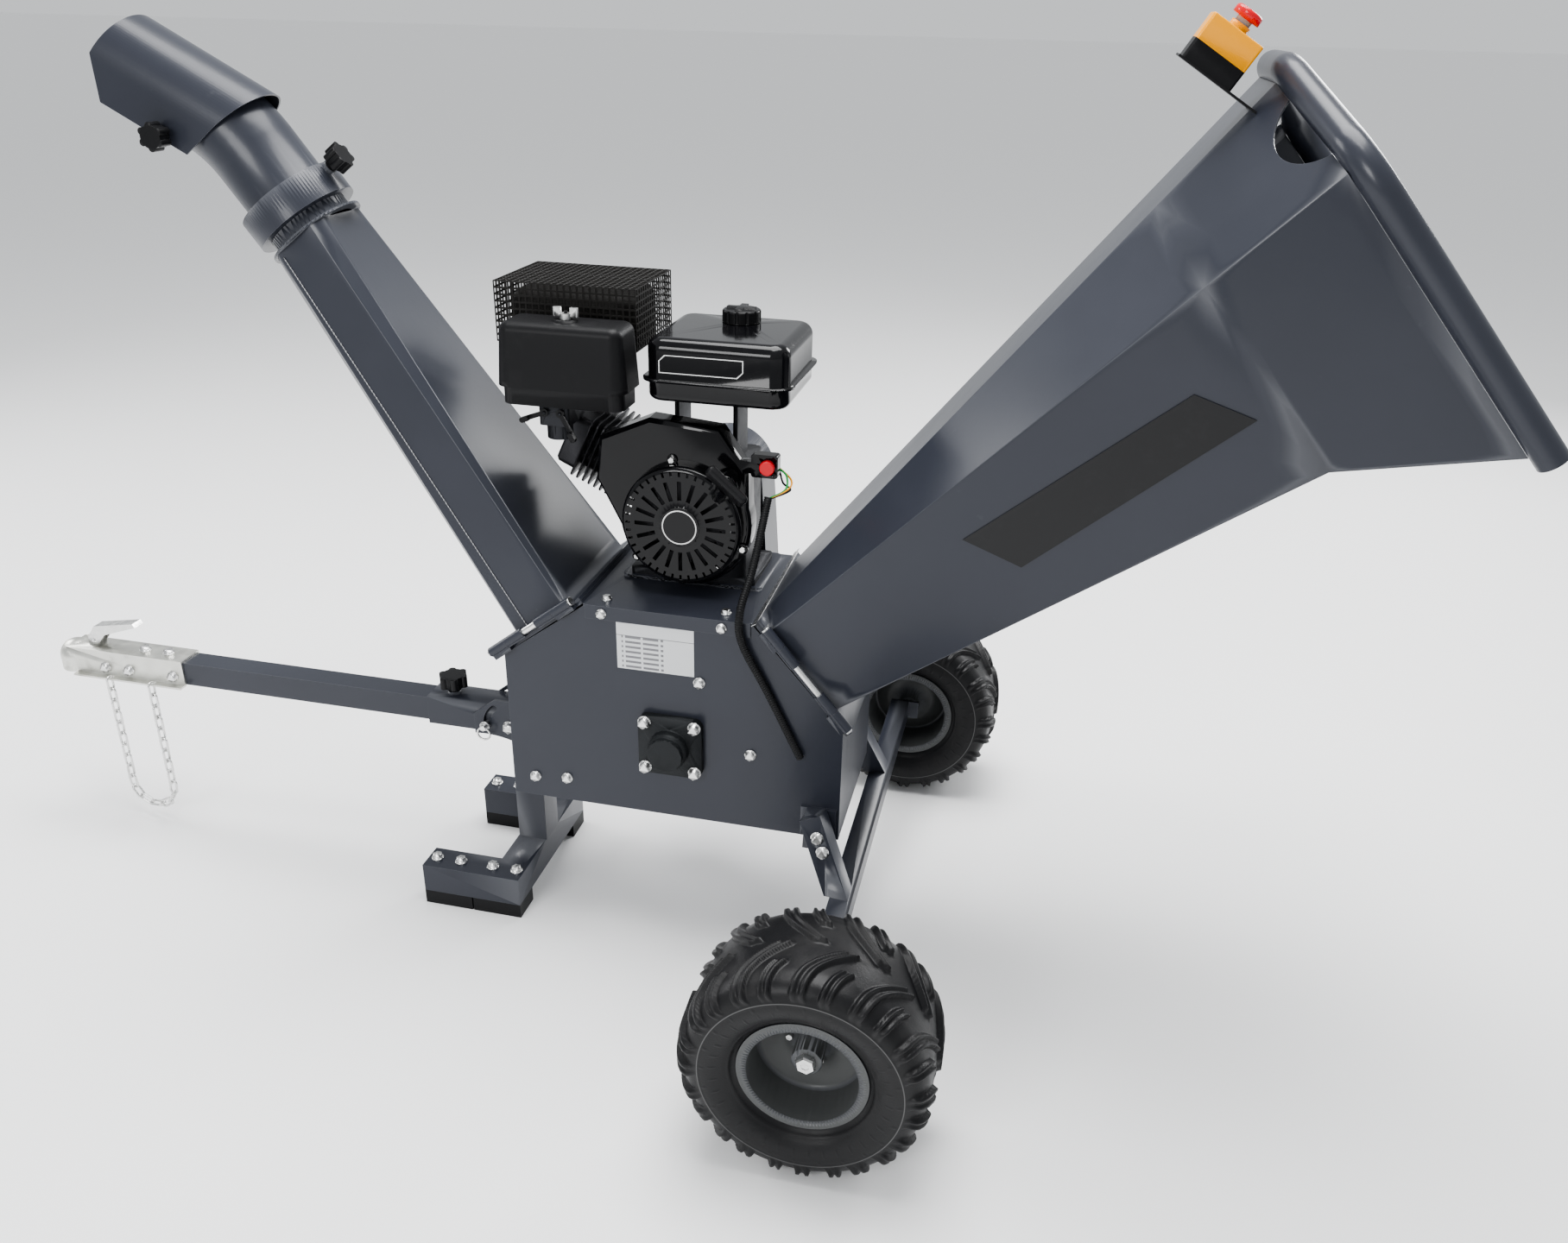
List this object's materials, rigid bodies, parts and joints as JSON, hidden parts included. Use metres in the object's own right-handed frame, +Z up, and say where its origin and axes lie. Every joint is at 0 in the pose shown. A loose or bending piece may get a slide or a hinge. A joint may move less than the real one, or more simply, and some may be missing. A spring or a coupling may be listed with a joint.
{
  "type": "towable petrol wood chipper",
  "caption": "Towable engine-driven wood chipper: drum housing on two wheels, hinged flared infeed hopper, swivelling discharge chute with tilting hood, and folding tow bar.",
  "frame": {"origin": "on the ground, midway along the overall length, on the centre line between the wheels", "axes": "+X towards the hopper mouth, -X towards the tow coupler, +Y towards the belt guard side, +Z up"},
  "size_m": [2.6496, 1.316, 1.6501],
  "materials": {
    "body_paint": "gloss",
    "inner_steel": "satin",
    "zinc_steel": "bright",
    "cast_housing": "satin",
    "engine_alloy": "as cast",
    "engine_black": "gloss",
    "filter_plastic": "matte",
    "muffler_steel": "matte heat-proof",
    "red_plastic": "gloss",
    "yellow_plastic": "gloss",
    "black_plastic": "satin",
    "tyre_rubber": "matte",
    "belt_rubber": "matte",
    "pad_steel": "satin"
  },
  "bodies": {
    "root": {"air_filter_cover": "filter_plastic", "anvil_bar": "inner_steel", "axle_frame": "body_paint", "belt_guard": "body_paint", "cable_conduit": "black_plastic", "carburettor": "engine_alloy", "drive_belt": "belt_rubber", "engine_crankcase": "engine_alloy", "engine_cylinder": "engine_alloy", "engine_deck": "body_paint", "fan_shroud": "engine_black", "front_stand": "body_paint", "fuel_tank": "engine_black", "hinge_pins": "zinc_steel", "hitch_bracket": "body_paint", "housing_bolts": "zinc_steel", "housing_far_panel": "body_paint", "housing_near_panel": "body_paint", "housing_shell": "body_paint", "muffler": "muffler_steel", "muffler_guard": "muffler_steel", "recoil_cover": "engine_black", "rotor_bearings": "cast_housing", "stand_pads": "pad_steel"},
    "hopper": {"hopper_shell": "body_paint", "hopper_rim_tube": "body_paint", "estop_box": "black_plastic", "estop_cover": "yellow_plastic"},
    "stop_button": {"estop_button": "red_plastic"},
    "chute": {"chute_shell": "body_paint"},
    "elbow": {"elbow_tube": "body_paint"},
    "collar_clamp": {"collar_knob": "black_plastic"},
    "hood": {"deflector_hood": "body_paint"},
    "hood_clamp": {"deflector_knob": "black_plastic"},
    "sleeve": {"tow_sleeve": "body_paint"},
    "tow_clamp": {"tow_knob": "black_plastic"},
    "tow_lock": {"lock_pin": "zinc_steel"},
    "tow_bar": {"tow_tube": "body_paint", "coupler": "zinc_steel", "coupler_bolts": "zinc_steel"},
    "latch": {"coupler_latch": "zinc_steel"},
    "chain": {"safety_chain": "zinc_steel"},
    "wheel_near": {"rim_near": "body_paint", "tyre_near": "tyre_rubber"},
    "wheel_far": {"rim_far": "body_paint", "tyre_far": "tyre_rubber"},
    "rotor": {"rotor_shaft": "inner_steel", "rotor_drum": "inner_steel", "rotor_blades": "inner_steel", "rotor_pulley": "cast_housing"},
    "crank": {"crankshaft": "inner_steel", "flywheel": "engine_alloy", "engine_pulley": "cast_housing"},
    "pull_handle": {"recoil_handle": "black_plastic"},
    "throttle": {"throttle_lever": "black_plastic"},
    "choke": {"choke_lever": "black_plastic"},
    "switch": {"engine_switch": "red_plastic"},
    "cap": {"fuel_cap": "black_plastic"},
    "wing_nut": {"filter_wing_nut": "zinc_steel"},
    "dipstick": {"oil_dipstick": "black_plastic"}
  },
  "joints": [
    {"name": "hopper_swing", "type": "hinge", "parent": "root", "child": "hopper", "pos_m": [0.24435, -0.164, 0.71041], "axis": [0.6508, 0, -0.7593], "range_deg": [0, 90]},
    {"name": "stop_push", "type": "slide", "parent": "hopper", "child": "stop_button", "axis": [-0.5268, 0, -0.85], "range_m": [0, 0.006], "stiffness_N_per_m": 800},
    {"name": "chute_swing", "type": "hinge", "parent": "root", "child": "chute", "pos_m": [-0.08054, -0.164, 0.71269], "axis": [0.7932, 0, 0.609], "range_deg": [0, 90]},
    {"name": "elbow_turn", "type": "hinge", "parent": "chute", "child": "elbow", "pos_m": [-0.608, 0, 1.30119], "axis": [-0.609, 0, 0.7932], "continuous": true},
    {"name": "collar_clamp_turn", "type": "hinge", "parent": "elbow", "child": "collar_clamp", "pos_m": [-0.54803, 0, 1.37497], "axis": [0.7932, 0, 0.609], "continuous": true},
    {"name": "hood_tilt", "type": "hinge", "parent": "elbow", "child": "hood", "pos_m": [-0.7918, 0, 1.423], "axis": [0, -1, 0], "range_deg": [0, 40]},
    {"name": "hood_clamp_turn", "type": "hinge", "parent": "hood", "child": "hood_clamp", "pos_m": [-0.7918, -0.08, 1.423], "axis": [0, -1, 0], "continuous": true},
    {"name": "tow_fold", "type": "hinge", "parent": "root", "child": "sleeve", "pos_m": [-0.2868, 0, 0.352], "axis": [0, 1, 0], "range_deg": [0, 50]},
    {"name": "tow_clamp_turn", "type": "hinge", "parent": "sleeve", "child": "tow_clamp", "pos_m": [-0.4168, 0, 0.398], "axis": [0, 0, 1], "continuous": true},
    {"name": "lock_pin_pull", "type": "slide", "parent": "sleeve", "child": "tow_lock", "axis": [0, -1, 0], "range_m": [0, 0.09]},
    {"name": "tow_bar_slide", "type": "slide", "parent": "sleeve", "child": "tow_bar", "axis": [-1, 0, 0], "range_m": [0, 0.05]},
    {"name": "latch_lift", "type": "hinge", "parent": "tow_bar", "child": "latch", "pos_m": [-1.2328, 0, 0.405], "axis": [0, -1, 0], "range_deg": [0, 70]},
    {"name": "chain_swing", "type": "hinge", "parent": "tow_bar", "child": "chain", "pos_m": [-1.1363, -0.0445, 0.338], "axis": [1, 0, 0], "range_deg": [-12, 12]},
    {"name": "wheel_near_roll", "type": "hinge", "parent": "root", "child": "wheel_near", "pos_m": [0.4342, -0.56, 0.2], "axis": [0, 1, 0], "continuous": true},
    {"name": "wheel_far_roll", "type": "hinge", "parent": "root", "child": "wheel_far", "pos_m": [0.4342, 0.56, 0.2], "axis": [0, 1, 0], "continuous": true},
    {"name": "rotor_spin", "type": "hinge", "parent": "root", "child": "rotor", "pos_m": [0.0852, 0, 0.442], "axis": [0, 1, 0], "continuous": true},
    {"name": "crank_spin", "type": "hinge", "parent": "root", "child": "crank", "pos_m": [0.0852, 0, 0.833], "axis": [0, 1, 0], "continuous": true},
    {"name": "recoil_pull", "type": "slide", "parent": "root", "child": "pull_handle", "axis": [0.4997, -0.5496, 0.6695], "range_m": [0, 0.4], "stiffness_N_per_m": 30},
    {"name": "throttle_turn", "type": "hinge", "parent": "root", "child": "throttle", "pos_m": [-0.1228, -0.082, 1.012], "axis": [0, 1, 0], "range_deg": [-20, 30]},
    {"name": "choke_turn", "type": "hinge", "parent": "root", "child": "choke", "pos_m": [-0.1508, -0.082, 1.012], "axis": [0, 1, 0], "range_deg": [0, 35]},
    {"name": "switch_turn", "type": "hinge", "parent": "root", "child": "switch", "pos_m": [0.2312, -0.06, 0.945], "axis": [0, 1, 0], "range_deg": [0, 60]},
    {"name": "cap_turn", "type": "hinge", "parent": "root", "child": "cap", "pos_m": [0.1472, 0.084, 1.152], "axis": [0, 0, 1], "continuous": true},
    {"name": "wing_nut_turn", "type": "hinge", "parent": "root", "child": "wing_nut", "pos_m": [-0.1048, -0.079, 1.172], "axis": [0, 0, 1], "continuous": true},
    {"name": "dipstick_turn", "type": "hinge", "parent": "root", "child": "dipstick", "pos_m": [-0.0228, 0.02, 0.746], "axis": [-0.8211, 0, 0.5708], "continuous": true}
  ],
  "couplings": [
    {"joint": "crank_spin", "follows": "rotor_spin", "ratio": 1.5}
  ]
}
